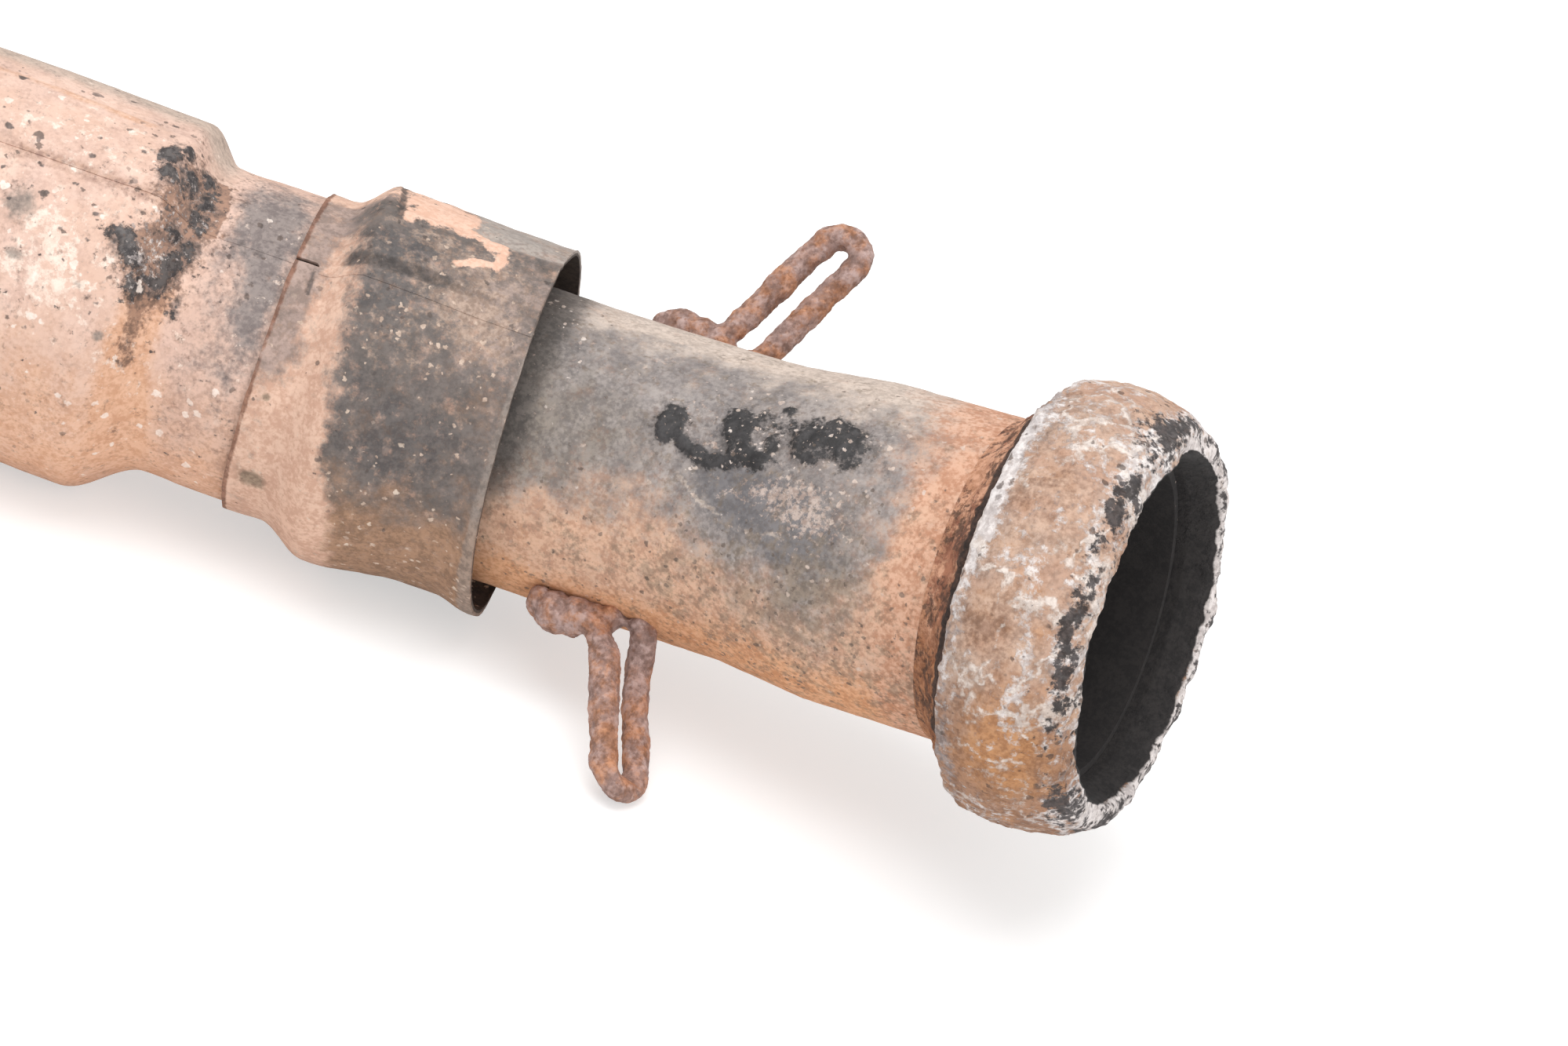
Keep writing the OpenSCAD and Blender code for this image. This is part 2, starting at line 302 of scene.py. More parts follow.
def tube_fields(s, turn, r, outer, points):
    """Where tar, dust, rust, heat film and soot lie on the tube, with painted shade by the front shield and
    painted glints on the tar, and the height of its relief.
    """
    u = s - SEAM
    place = u, turn, r
    down = np.sin(np.radians(turn))
    wander = 7 * rough(points, 16, 21)
    tar = strongest(
        place, (1.0, 74.5, -15, 3.0, 3.2), (0.9, 78.5, -10, 3.4, 1.7, 28),
        (0.95, 83, -7, 3.6, 1.6, 12), (0.95, 87, -7, 3.2, 1.7, -8), (0.86, 87.5, -20, 3.6, 4.4),
        (0.72, 91, -27, 2.6, 2.4), (0.80, 92.5, -11, 4.4, 1.9, -10), (0.74, 94.5, -19, 2.6, 2.2),
        (0.78, 99, -24, 4.4, 4.0), (0.88, 105, -27, 5.2, 3.4, 10), (0.76, 107, -21, 3.4, 2.4, 20),
        (0.8, 94, -34, 1.4, 1.1), (0.78, 101, -17, 3.6, 1.9), (0.80, 89, -14, 4.0, 3.4))
    smoke = 0.8 * tar + 0.10
    tar = tar + 0.15 * rough(points, 2.6, 11) + marks(
        place, (-0.45, 81, -13, 2.2, 0.9), (-0.5, 85, -13, 1.6, 1.2), (-0.25, 96.5, -16, 1.2, 1.6))

    front = np.abs(turn) < 100
    border = np.interp(u, [40, 52, 62, 74, 82, 90, 98, 106, 112, 118, 124],
                       [23, 16, 13, 9, 14, 20, 24, 27, 24, 6, -60])
    dust = (ease(-20, 34, turn - border + wander) - marks(place, (0.18, 104, 42, 16, 13))) * front
    dust = dust + (turn > 99)
    ahead = 0.66 * ease(97, 125, u - 9 * np.cos(np.radians(turn + 5))) + 0.14 * rough(points, 8, 25)
    dust = np.maximum(dust, ahead * ease(88, 100, u))
    tan = ease(-42, -78, turn + wander) * ease(46, 60, u) + 0.40 * ease(-25, -70, turn)
    tan = tan + 0.5 * ease(-100, -120, turn) + 0.3 * ease(84, 112, u) * ease(0, -50, turn)
    tan = tan + marks(place, (0.25, 58, -62, 10, 8)) + (0.30 + 0.25 * rough(points, 18, 29)) * (u < 0)
    rust = ease(112, 125, u - 2 * down) * 0.66 + 0.25 * ease(115, 122, u) * ease(0.1, 0.8, down)
    rust = rust + 0.3 * ease(96, 116, u) * ease(-30, -80, turn)
    low = ease(44, 78, turn + 0.8 * wander) * (turn < 140) + marks(place, (0.2, 50, 50, 8, 6))
    olive = marks(place, (0.66, 56, 0, 16, 12), (0.45, 110, 20, 10, 12))
    # Next to the front shield's edge this darkens the tube as painted shade cast by the shield; the two
    # ovals are khaki staining.
    olive = olive + 0.6 * ease(54, 43, u) * ease(0.7, 0.2, down) * (u > 0)
    murk = 0.30 + marks(place, (0.30, 48, -30, 8, 12), (0.25, 92, -4, 22, 8))
    smooth = marks(place, (0.95, 93, 3, 9, 4.6, 10), (0.30, 80, -30, 12, 7), (0.75, 104, 12, 6, 5))
    stain = 0.16 + marks(place, (0.42, 104, 40, 16, 14))
    stain = stain + 0.30 * ease(0, 1, rough(points, 22, 27)) * ease(10, 30, turn)
    shadow = ease(52, 43, u) * ease(0.75, 0.3, down) * (u > 0)

    pale = 0.05 + marks(place, (0.16, 106, -3, 14, 12)) + 0.05 * ease(-20, -60, turn)
    pits = 0.06 + marks(place, (0.34, 104, 42, 18, 16)) + 0.14 * ease(10, 30, turn) * ease(95, 70, turn)
    # Pale spots: a few scattered dust grains, and over the tar painted glints of its gloss.
    sparks = 0.03 + marks(place, (0.22, 97, -22, 12, 6), (0.14, 50, -40, 6, 8),
                          (0.34, 88, -14, 3.6, 3.6))
    scratch = line_mark(u, turn, TUBE_R, [(76, -5), (78.5, 0), (82, 4.5), (86, 9), (91, 12),
                                          (96, 14), (101, 12)], 0.5)
    scratch = scratch * ease(-0.9, 0.5, rough(points, 5, 23))
    scuff = marks(place, (0.44, 103, 5, 6, 2.6, 14), (0.42, 100, -3, 8, 1.6, -16),
                  (0.30, 108, 1, 5, 2.2), (0.35, 78, -24, 3, 1.5), (0.3, 66, -42, 4, 1.2, -30),
                  (0.4, 84.6, -13, 1.6, 1.2))
    soot = np.where(outer, ease(TUBE_END - 0.6, TUBE_END, s), 1.0)

    height = 0.34 * ease(0.42, 0.62, tar) * (1 + 0.5 * rough(points, 1.4, 31)) - 0.05 * scratch
    height = height + 0.05 * rough(points, 2.2, 41) + 0.22 * lumps(points, 26, 51)
    height = np.where(outer & (s < TUBE_END - 0.2), height, 0)
    fields = {"tar": tar, "dust": dust, "tan": tan, "rust": rust, "low": low, "olive": olive,
              "smooth": smooth, "pale": pale * ease(0.9, 0.4, smooth) * outer, "pits": pits * outer,
              "shadow": shadow, "scratch": scratch, "scuff": scuff, "soot": soot, "smoke": smoke,
              "murk": murk, "stain": stain, "sparks": sparks * outer}
    return fields, height


def stop_collar():
    """The collar: a cone that rises from the tube to a rim, scaled and pitted by rust."""
    rim_r = 32.3
    outline = [(-1.6, END_R + 0.05), (-0.2, END_R + 0.7), (0.4, END_R + 1.2),
               (COLLAR_LEN - 1.5, rim_r - 0.4), (COLLAR_LEN - 0.5, rim_r), (COLLAR_LEN, rim_r - 0.6),
               (COLLAR_LEN, END_R), (-1.6, END_R)]
    at, r = dense_loop(outline, 0.45)
    turn = np.linspace(-180, 180, 500, endpoint=False)[None, :]
    at, r, turn = np.broadcast_arrays(at[:, None], r[:, None], turn)
    points = on_pipe(COLLAR_AT + at, turn, r)
    outer = ease(END_R + 0.2, END_R + 1.2, r) * ease(COLLAR_LEN + 0.1, COLLAR_LEN - 0.6, at)
    height = outer * (0.36 * rough(points, 3.0, 61) + 0.14 * rough(points, 0.9, 71, 2) - 0.1)
    points = raised(points, height, True)
    down = np.sin(np.radians(turn))
    flake = 0.33 + 0.4 * rough(points, 6, 81) + 0.25 * ease(0, -0.8, down)
    flake = flake + 0.30 * ease(1.9, 0.0, at + 0.6 * rough(points, 4, 87))
    # Very dark next to the gasket: painted shade in the gap between collar and gasket.
    deep = ease(COLLAR_LEN - 2.5, COLLAR_LEN - 1.5, at + 0.4 * rough(points, 3, 85)) * (r > END_R + 1)
    fields = {"flake": flake, "deep": deep, "cracks": 0.40 + 0.28 * rough(points, 4, 83),
              "low": 0.9 * ease(-0.1, 0.9, down)}
    return mesh_object("collar_scale", points, loop_faces(*at.shape, True), "stop_collar",
                       fields)


def gasket_ring():
    """The doughnut gasket: an arc of radius bulge_r in section, a narrow front face and a bore.

    Crust stands on it in lumps and along veins, and its front lip is ragged.
    """
    bulge_r, widest_r = 20.6, 36.6
    centre_r = widest_r - bulge_r
    widest_at = np.sqrt(bulge_r ** 2 - (GASKET_BACK_R - centre_r) ** 2)
    sweep = np.linspace(0.5, GASKET_LEN - 0.9, 66)
    arc = list(zip(sweep, centre_r + np.sqrt(bulge_r ** 2 - (sweep - widest_at) ** 2)))
    bore_r = END_R + 0.15
    outline = [(0, bore_r), (0, GASKET_BACK_R - 0.9), *arc, (GASKET_LEN - 0.2, 30.9),
               (GASKET_LEN, 29.6), (GASKET_LEN - 0.2, 28.6), (GASKET_LEN - 1.4, 28.0),
               (TUBE_END - GASKET_AT + 0.8, bore_r)]
    at, r = dense_loop(outline, 0.42)
    turn = np.linspace(-180, 180, 560, endpoint=False)[None, :]
    at, r, turn = np.broadcast_arrays(at[:, None], r[:, None], turn)
    far = 0.5 - 0.5 * np.cos(np.radians(turn))
    points = on_pipe(GASKET_AT + at + 1.6 * far * at / GASKET_LEN, turn, r)

    front_r = np.interp(at, [GASKET_LEN - 1.4, GASKET_LEN], [28.0, 28.4])
    outer = np.maximum(ease(GASKET_BACK_R - 4, GASKET_BACK_R - 1, r) * (at < 1),
                       ease(front_r - 0.1, front_r + 0.8, r) * (at >= 1))
    back = ease(4.6, 1.4, at) * outer
    lip = ease(15.5, 18.0, at) * outer
    ragged = ease(GASKET_LEN - 2.5, GASKET_LEN - 0.4, at)
    wander = rough(points, 5, 91)
    clumps = rough(points, 2.6, 121, 4)
    veins = rough(points + 1.5 * MM * wander[..., None], 8, 111, 4)
    veins = 1 - np.minimum(np.abs(veins) * 3.2, 1)
    chewed = 0.30 * rough(points, 4.4, 131, 4) + 0.12 * rough(points, 1.1, 135, 2) - 0.15
    height = outer * (0.28 * wander + 0.15 * veins + 0.16 * clumps - 0.1)
    height = height + (0.7 * lip + back) * 0.34 * np.abs(clumps)
    height = height + ragged * (chewed + 0.5 * outer * lumps(points, 7, 133))
    points = raised(points, height, True)
    fields = gasket_fields(at, turn, r, far, points, outer, back, lip, clumps, veins)
    return mesh_object("gasket_crust", points, loop_faces(*at.shape, True), "gasket_ring",
                       fields)


def gasket_fields(at, turn, r, far, points, outer, back, lip, clumps, veins):
    """Where ash, soot, slate, rust and grime lie on the gasket.

    back and lip are its two edges, and far is 0 on the near side of the ring and 1 on the far side.
    """
    mean_r = 36.0
    place = at, turn, mean_r
    ring = 0, turn, mean_r
    distant = ease(0.2, 0.6, far)
    patchy = rough(points, 9, 143, 3)
    edge_at = GASKET_LEN - 2.0 + rough(points, 6, 145, 3)
    top = ease(-45, -75, turn) * ease(-170, -140, turn)
    low = ease(22, 62, turn) * ease(170, 130, turn)
    face = ease(GASKET_LEN - 1.2, GASKET_LEN - 0.5, at) * outer
    chamfer = ease(27.6, 28.2, r) * ease(30.6, 29.6, r) * (at > 14)
    white = 0.06 + (0.14 + marks(ring, (0.56, 0, -12, 1, 17))) * back + 0.24 * lip + 0.18 * patchy
    white = white + marks(ring, (0.16, 0, -30, 1, 14), (0.16, 0, 80, 1, 8)) + 0.24 * top
    white = white + (0.60 * face + 0.34 * lip + 0.45 * chamfer) * distant
    white = white + 0.26 * line_mark(at, turn, mean_r, [(11, 0), (12, 14), (14, 26), (12, 36),
                                                        (13.5, 43)], 2.2)
    soot = 0.50 * ease(2.8, 0.4, np.abs(at - edge_at)) * outer * (0.60 + 0.65 * lumps(points, 8, 153))
    soot = soot + marks((at, turn, 34), (0.5, 17.5, -56, 3, 5)) + 0.12 * ease(13, 18, at)
    soot = soot + (0.20 * face + 0.3 * face * ease(29.2, 28.4, r)) * distant
    bore = ease(29.7, 28.9, r + 0.3 * clumps + 0.9 * ease(0.3, 0.7, far)) * ease(8, 14, at)
    orange = marks(place, (0.75, 12, 52, 8, 10)) + 0.22 * ease(-0.2, 0.6, patchy)
    return {
        "white": white,
        "soot": soot,
        "bore": bore + (at < 0.1) * (r < END_R + 1),
        "orange": orange - 0.1 * ease(0, -0.7, np.sin(np.radians(turn))),
        "slate": 0.34 * back + 0.26 * lip + marks(ring, (0.2, 0, -35, 1, 12))
        + marks(place, (0.22, 3, 55, 4, 8)),
        "veins": (0.52 + 0.25 * ease(-0.4, 0.6, patchy)) * veins * outer * (1 - 0.18 * low),
        "peppers": (0.10 + 0.25 * ease(12, 18, at) + 0.12 * ease(5, 2, at)) * outer,
        "grime": 0.30 + 0.18 * patchy + 0.36 * ease(7, 2, at) - 0.35 * top + 0.15 * low,
        "brown": 0.28 - 0.3 * patchy - 0.3 * top + 0.80 * low,
    }


def shield_half(name, node, stations, radius_at, fields_at, upper, turns, lap, gap=0.0,
                skew=0.0):
    """Half of a pressed shield. Its edges run along the parting line; the upper half laps the lower.

    radius_at gives the outer radius at each station and turn. The upper half reaches lap degrees
    past the line, and gap degrees are cut from both edges. skew is the share by which lengths from
    the seam grow at the bottom and shrink on top.
    """
    reach = (lap if upper else 0) - gap * np.ones(len(stations))
    start = PARTING + (180 if upper else 0)
    first, last = start - reach, start + 180 + reach
    rows, first, last = (np.concatenate([side, side[::-1]])[:, None] for side in (stations, first, last))
    turn = first + (last - first) * np.linspace(0, 1, turns)
    turn = (turn + 180) % 360 - 180
    s = rows + (rows - SEAM) * skew * np.sin(np.radians(turn))
    inside = (np.arange(len(rows)) >= len(stations))[:, None]
    r = radius_at(s, turn, upper) - np.where(inside, SHEET, 0)
    points = on_pipe(s, turn, r)
    fields, height = fields_at(s - SEAM, turn, r, points)
    fields["inside"] = np.broadcast_to(inside, s.shape) * 1.0
    points = raised(points, np.where(inside, 0.25, 1.0) * height, False)
    return mesh_object(name, points, loop_faces(*s.shape, False), node, fields)


def lapped(turn, upper, height, inset=-20.0):
    """Extra radius of the upper half's joggle: height over the lap strips, faded at their far edges.

    The strips begin inset degrees past the parting line and are LAP_WIDTH degrees wide.
    """
    if not upper:
        return 0.0
    strips = []
    for past in (PARTING - turn, turn - PARTING - 180):
        past = (past + 180) % 360 - 180
        strips.append(ease(LAP_WIDTH + 2.2, LAP_WIDTH - 1.2, past) * ease(inset - 1.2, inset + 1.2, past))
    return height * np.maximum(*strips)


def rear_radius(s, turn, upper):
    """The rear shield: necks at both ends and a full-width body, with a sharper shoulder on top."""
    up = 0.5 - 0.5 * np.sin(np.radians(turn))
    u = s - SEAM
    front = ease(-14.8 - 1.4 * up, -27.0 + 4.0 * up, u)
    back = ease(SHIELD_BACK + 15, SHIELD_BACK + 25, s)
    full = front * back
    belly = 0.8 * ease(-60, -30, u) * (1 - up)
    waist = -0.2 * spot(u, 0, 1, (-13, 0), 3, 1e6)
    r = NECK_R + (BODY_R - 0.8 - NECK_R + 0.4 * (1 - up)) * full + belly * full + waist
    return r + lapped(turn, upper, 0.08 + 0.10 * full) + lapped(turn, upper, 0.5 * full, 2.4)


def rear_fields(u, turn, r, points):
    """Where tar, flecks, soot film, rust and orange stain lie on the rear shield, with painted glints on
    the tar and painted shade along the parting line, and its dents.
    """
    place = u, turn, r
    down = np.sin(np.radians(turn))
    ragged = rough(points, 5, 218)
    tar = strongest(
        place, (1, -24.5, -41, 1.8, 2.2), (1, -22.0, -46, 1.2, 1.6), (1, -23.5, -34, 2.0, 1.6),
        (1, -20.0, -37, 1.7, 2.4), (1, -18.0, -46, 1.0, 1.6), (1, -17.0, -37, 1.6, 2.4),
        (1, -16.6, -28, 1.4, 2.2), (1, -19.0, -18, 1.3, 1.6), (1, -16.6, -16, 1.6, 1.8),
        (1, -26.5, -10, 1.8, 1.5), (1, -24.0, -6, 2.4, 2.0), (1, -22.0, 2, 1.4, 1.6),
        (1, -18.0, -9, 1.8, 2.4), (1, -19.2, -1, 1.8, 1.8), (1, -15.2, 4, 0.8, 1.5))
    smoke = tar + 0.06
    old = 0.06 + 0.22 * rough(points, 14, 216) - 0.6 * ease(-75, -45, u)
    tar = np.maximum(0.88 * tar + 0.22 * rough(points, 2.2, 211), np.where(u < -45, old, 0))

    band = ease(-62, -50, u) * ease(-15, -24, u)
    dots = 0.02 + band * marks((0, turn, BODY_MARK_R), (0.26, 0, -33, 1, 11))
    dots = dots + marks(place, (0.16, -30, 0, 14, 10))
    dots = dots + 0.10 * ease(0, 0.7, rough(points, 24, 219)) * (u < -55)
    grit = 0.04 + marks(place, (0.18, -30, -30, 16, 16), (0.30, -22, -10, 8, 10))
    chips = 0.03 + marks(place, (0.34, -35, 0, 9, 12), (0.20, -25, 50, 14, 12), (0.22, -38, -40, 10, 6))
    flecks = 0.05 + marks(place, (0.40, -36, -5, 6, 6), (0.46, -34, 10, 6, 4.5),
                          (0.30, -38, -38, 10, 6), (0.22, -21, 28, 4, 7))
    # Pale spots over the tar splashes are painted glints.
    specks = marks(place, (0.26, -20, -30, 6, 9), (0.36, -22, -6, 3.4, 5)) * (np.abs(turn) < 110)
    mauve = 0.34 + 0.30 * ragged + marks(place, (0.2, -44, -9, 3, 3), (0.25, -28, -50, 9, 6))
    smudge = marks(place, (0.9, -43, -9, 2.4, 2.6), (0.8, -41, 5, 1.6, 1.0),
                   (0.9, -24.5, 19, 0.9, 0.9), (0.6, -30, 7, 0.9, 0.6))
    rust = marks(place, (0.95, -19.0, -32, 4.2, 9.0), (0.85, -20.5, -8, 4.0, 6.0)) + 0.16 * ragged
    rust = rust + 0.9 * line_mark(*place, [(-16.0, -50), (-14.6, -42), (-14.3, -26)], 1.2)
    rust = rust + 0.55 * line_mark(*place, [(-20.6, 2), (-20.4, 16), (-19.6, 26)], 1.6)

    body = u, turn, BODY_MARK_R
    orange = 0.72 * line_mark(*body, [(-19.5, 2), (-20.0, 22), (-18.5, 48), (-18, 64)], 5.0)
    orange = orange + 0.55 * line_mark(*body, [(-60, -54), (-30, -52)], 2.0) + 0.75 * ease(0.1, 0.9, down)
    film = marks((u, turn, NECK_MARK_R), (0.92, -7.0, -40, 5.2, 9.0), (0.72, -3.6, -6, 2.8, 11))
    film = (film + 0.16 * ease(65, 10, turn)) * ease(-16, -10, u) + 0.30 * ease(-85, -120, turn)
    pinkish = 0.62 * ease(-15.5, -11.5, u) * ease(90, 40, turn) * ease(-90, -50, turn)
    top = 0.85 * ease(-56, -72, turn) * ease(-160, -130, turn) * ease(-15, -20, u)
    top = top + marks(place, (0.5, -17, -62, 3, 8))
    # The line along the parting line is brown rust and painted shade in its channel.
    near = line_mark(*body, [(-200, PARTING), (-29.0, PARTING)], 0.9)
    soft = line_mark(*body, [(-200, PARTING + 1), (-29.0, PARTING + 1), (-21, PARTING + 1)], 2.2)
    groove = np.maximum(near * (0.55 + 0.30 * ragged), 0.50 * soft)

    height = 0.34 * ease(0.42, 0.66, tar) * (1 + 0.6 * rough(points, 1.2, 231))
    height = height + 0.03 * rough(points, 2.0, 241) + 0.30 * lumps(points, 30, 251)
    height = height + 0.12 * lumps(points, 11, 253) - 0.2 * near
    fields = {"tar": tar, "rust": rust, "orange": orange, "flecks": flecks, "film": film,
              "groove": groove, "dots": dots, "specks": specks, "mauve": mauve, "smudge": smudge,
              "top": top, "pinkish": pinkish, "grit": grit, "chips": chips, "smoke": smoke}
    return fields, height


def front_radius(s, turn, upper):
    """The front shield: a lap over the neck, a shoulder, a barrel and a flared lip at the bottom.

    The barrel stays wide on top and tapers below; its upper half has a fold along the lap's edge.
    """
    up = 0.5 - 0.5 * np.sin(np.radians(turn))
    u = s - SEAM
    lap_r = NECK_R + LAP_GAP + SHEET
    rise = ease(6.5 - 2.0 * up, 15.0 - 4.5 * up, u)
    barrel = 31.8 + 0.9 * up - (1 - up) * 2.3 * ease(15, 33, u)
    flare = 1.6 * ease(37.5, 44.5, u) * ease(0.35, 0.95, np.sin(np.radians(turn + 18)))
    r = lap_r + (barrel - lap_r) * rise + flare
    fold = 0.5 * ease(20, 27, u) * ease(9, 0, np.abs(turn - (PARTING - 32 + 0.35 * (u - 34))))
    facet = -0.45 * ease(14, 24, u) * ease(14, 2, np.abs(turn - (PARTING - 47)))
    flap = 0.35 * ease(3, 6, u) * ease(12.5, 11, u) * ease(-52, -62, turn) * ease(-150, -125, turn)
    step = lapped(turn, upper, 0.10) + lapped(turn, upper, 0.55 * rise, 4.6)
    return r + step + (fold + facet + flap if upper else 0.0)


def front_fields(u, turn, r, points):
    """Where dust, bare film, soil and pale spots lie on the front shield, with painted shade in its folds
    and painted light on its flat top face, and its dents.
    """
    place = u, turn, r
    ragged = rough(points, 5, 301)
    starts = np.interp(turn, [-95, -60, -55, -30, -10, 20, 45, 60, 95],
                       [11, 11.5, 7, 8.4, 11.4, 13, 15.6, 18.4, 18.4])
    on_lap = ease(1.4, -1.4, (u - starts) / 2.4 + 0.5 * ragged)
    dust = 0.88 * on_lap * ease(3.5, 7.0, u + 0.8 * ragged) * ease(-50, -36, turn) + 0.08 * on_lap
    dust = dust + 0.85 * on_lap * ease(5, 26, turn) + 0.8 * on_lap * ease(-58, -64, turn)
    mauve = on_lap * (0.75 - 0.3 * dust) * ease(60, 20, turn)
    patch = strongest(
        place, (1, 14.5, -53, 2.0, 3.6), (1, 18, -57, 4.6, 4.6), (1, 20, -66, 9, 9),
        (1, 25, -54, 4.6, 2.6, 12), (1, 28.8, -51, 3.0, 2.8, 30), (1, 30.8, -46, 1.3, 2.8),
        (1, 28.4, -42, 2.8, 1.0, -20), (1, 25.6, -39, 2.2, 0.8, -24))
    patch = patch - marks(place, (0.8, 25.4, -46.5, 3.6, 1.3, 6), (0.4, 19, -45, 3.0, 1.2))
    patch = patch - 0.6 * ease(23, 27, u) * ease(-53, -57, turn) + 0.15 * ragged
    patch = patch * (np.abs(turn) < 110)
    # Painted light: the flat top face is coloured lighter where it faces the light.
    facet = ease(21, 27, u) * ease(-49, -56, turn) * ease(-150, -125, turn)

    flecks = 0.08 + marks(place, (0.40, 32, -20, 9, 6, 20), (0.16, 20, -8, 8, 6), (0.40, 22, -43, 7, 3),
                          (0.28, 33, -38, 5, 5), (0.30, 27, -27, 9, 2.2, 16))
    flecks = flecks + 0.10 * ease(18, 40, turn) - 0.15 * facet
    soil = 0.95 * ease(26, 58, turn + 5 * ragged) * ease(8, 13, u) + 0.10 * ease(30, 40, u) + 0.06
    veil = 0.08 + marks(place, (0.42, 35, -22, 8, 8), (0.30, 34, -40, 6, 5), (0.22, 28, -27, 9, 5))
    veil = veil + 0.22 * ease(34, 41, u) * ease(20, -10, turn)
    veil = veil + 0.4 * ease(90, 150, np.abs(turn)) * ease(14, 20, u)
    pale = 0.03 + 0.10 * ease(8, 40, turn) * ease(10, 16, u) + 0.05 * ease(28, 40, u)
    fine_pale = 0.06 + marks(place, (0.20, 32, -14, 12, 12), (0.30, 17, -8, 4, 8))
    fine_pale = fine_pale + 0.12 * ease(10, 50, turn) * ease(10, 16, u)
    grit = 0.08 + 0.22 * ease(0.8, 0.2, on_lap) * ease(18, 12, u) + marks(place, (0.18, 22, -48, 7, 3))
    deep = marks(place, (0.80, 16, -36, 8, 4), (0.55, 15, -18, 5, 6), (0.72, 26, 18, 12, 8),
                 (0.42, 36, -51, 6, 3), (0.55, 3.6, -2, 2.4, 7), (0.4, 4.5, -48, 3, 4))
    hole = marks(place, (1, 4.4, 55, 2.4, 1.7), (0.8, 3.2, 22, 0.7, 0.7))
    ring = ease(1.1, 0.3, np.abs(u)) * (0.8 + 0.3 * ragged)
    # Dark lines painted as shade: in the fold, under the shoulder's rim, and the shadow of a notch beside
    # the slit.
    fold = line_mark(u, turn, 31.5, [(8.5, -29), (16, -30), (24, -31), (32, -31)], 1.7)
    rim = line_mark(u, turn, 30, [(10.4, -95), (11.2, -72), (12.4, -58), (13.0, -50)], 0.8)
    notch_shadow = line_mark(u, turn, 28, [(3.4, -23), (3.9, -15.5)], 0.55)
    crease = np.maximum(np.maximum(0.75 * fold * ease(34, 20, u), rim), notch_shadow)

    height = 0.06 * rough(points, 3, 341) + 0.30 * lumps(points, 14, 351)
    height = height + 0.16 * ease(0.45, 0.6, patch) - 0.22 * crease - 0.3 * ease(0.5, 0.8, hole)
    fields = {"dust": dust, "patch": patch, "mauve": mauve, "facet": facet,
              "edge": ease(41.8, 43.4, u + 0.5 * ragged), "ring": ring, "crease": crease,
              "flecks": flecks, "soil": soil, "pale": pale, "deep": deep, "hole": hole,
              "fine_pale": fine_pale, "grit": grit, "veil": veil}
    return fields, height


def rear_shield():
    """Both halves of the rear shield, with finer rows towards the seam."""
    stations = np.concatenate([np.linspace(SHIELD_BACK, SEAM - 62, 92),
                               np.linspace(SEAM - 61.3, SEAM + REAR_UNDER_LAP, 102)])
    return [shield_half(f"rear_{side}_pressing", f"rear_shield_{side}", stations,
                        rear_radius, rear_fields, side == "upper", 170, 0.6)
            for side in ("lower", "upper")]


def front_shield():
    """Both halves of the front shield, with a slit left open at the lap's parting line."""
    stations = np.linspace(SEAM, SEAM + FRONT_LEN, 100)
    slit = 3.8 * ease(4.4, 3.8, stations - SEAM)
    return [shield_half(f"front_{side}_pressing", f"front_shield_{side}", stations,
                        front_radius, front_fields, side == "upper", 220, 2.6,
                        gap=slit * (side == "upper"), skew=FRONT_SKEW)
            for side in ("lower", "upper")]


# ---------------------------------------------------------------- spring hooks
ROD_R = 2.3
HOOK_HEIGHT = 30.3
HOOK_LEAN = radians(22.5)
SEAT_SHIFT = 5.0
FOOT = 7.5
FOOT_BEND_R = 2.3 + ROD_R
VOXEL = 0.30
# The weld along the foot: distance from its end, drop below the rod's line, and three radii.
WELD_LUMPS = ((0.2, 0.5, (2.4, 2.6, 3.1)), (3.2, -0.5, (3.8, 3.4, 3.9)),
              (6.8, -0.1, (4.0, 3.3, 4.0)), (10.2, 0.8, (3.5, 2.9, 3.6)),
              (4.6, -0.2, (2.6, 2.6, 3.0)), (12.4, 2.0, (2.5, 2.0, 2.8)))
END_LUMP = (2.7, 1.7, 2.9)


def hook_path(slot):
    """The rod's line in the hook's own plane: foot, bend, leg, half circle and leg back.

    Returned as (distance along the tube, distance out from its axis) points, a few tenths of a mm apart.
    """
    turn_r = ROD_R + slot / 2
    turn_z = TUBE_R + HOOK_HEIGHT - ROD_R - turn_r
    turn_x = SEAT_SHIFT + (turn_z - TUBE_R) * np.tan(HOOK_LEAN)
    up = np.array([np.sin(HOOK_LEAN), np.cos(HOOK_LEAN)])
    side = np.array([np.cos(HOOK_LEAN), -np.sin(HOOK_LEAN)])
    centre = np.array([turn_x, turn_z])
    foot_z = TUBE_R + ROD_R + 0.2
    back_top = centre - turn_r * side
    length = (back_top[1] - foot_z - FOOT_BEND_R * (1 - np.sin(HOOK_LEAN))) / np.cos(HOOK_LEAN)
    back_low = back_top - length * up
    bend_centre = back_low - FOOT_BEND_R * side
    foot = bend_centre + np.stack([np.linspace(-FOOT, 0, 40)[:-1], np.full(39, -FOOT_BEND_R)], -1)
    swing = np.linspace(-pi / 2, -HOOK_LEAN, 20)[:-1, None]
    bend = bend_centre + FOOT_BEND_R * np.concatenate([np.cos(swing), np.sin(swing)], 1)
    leg = back_low + np.linspace(0, length, 50)[:-1, None] * up
    around = np.linspace(pi - HOOK_LEAN, -HOOK_LEAN, 36)[:, None]
    crown = centre + turn_r * np.concatenate([np.cos(around), np.sin(around)], 1)
    down = (centre + turn_r * side) - np.linspace(0.3, length + 5.2, 60)[:, None] * up
    return np.concatenate([foot, bend, leg, crown, down])


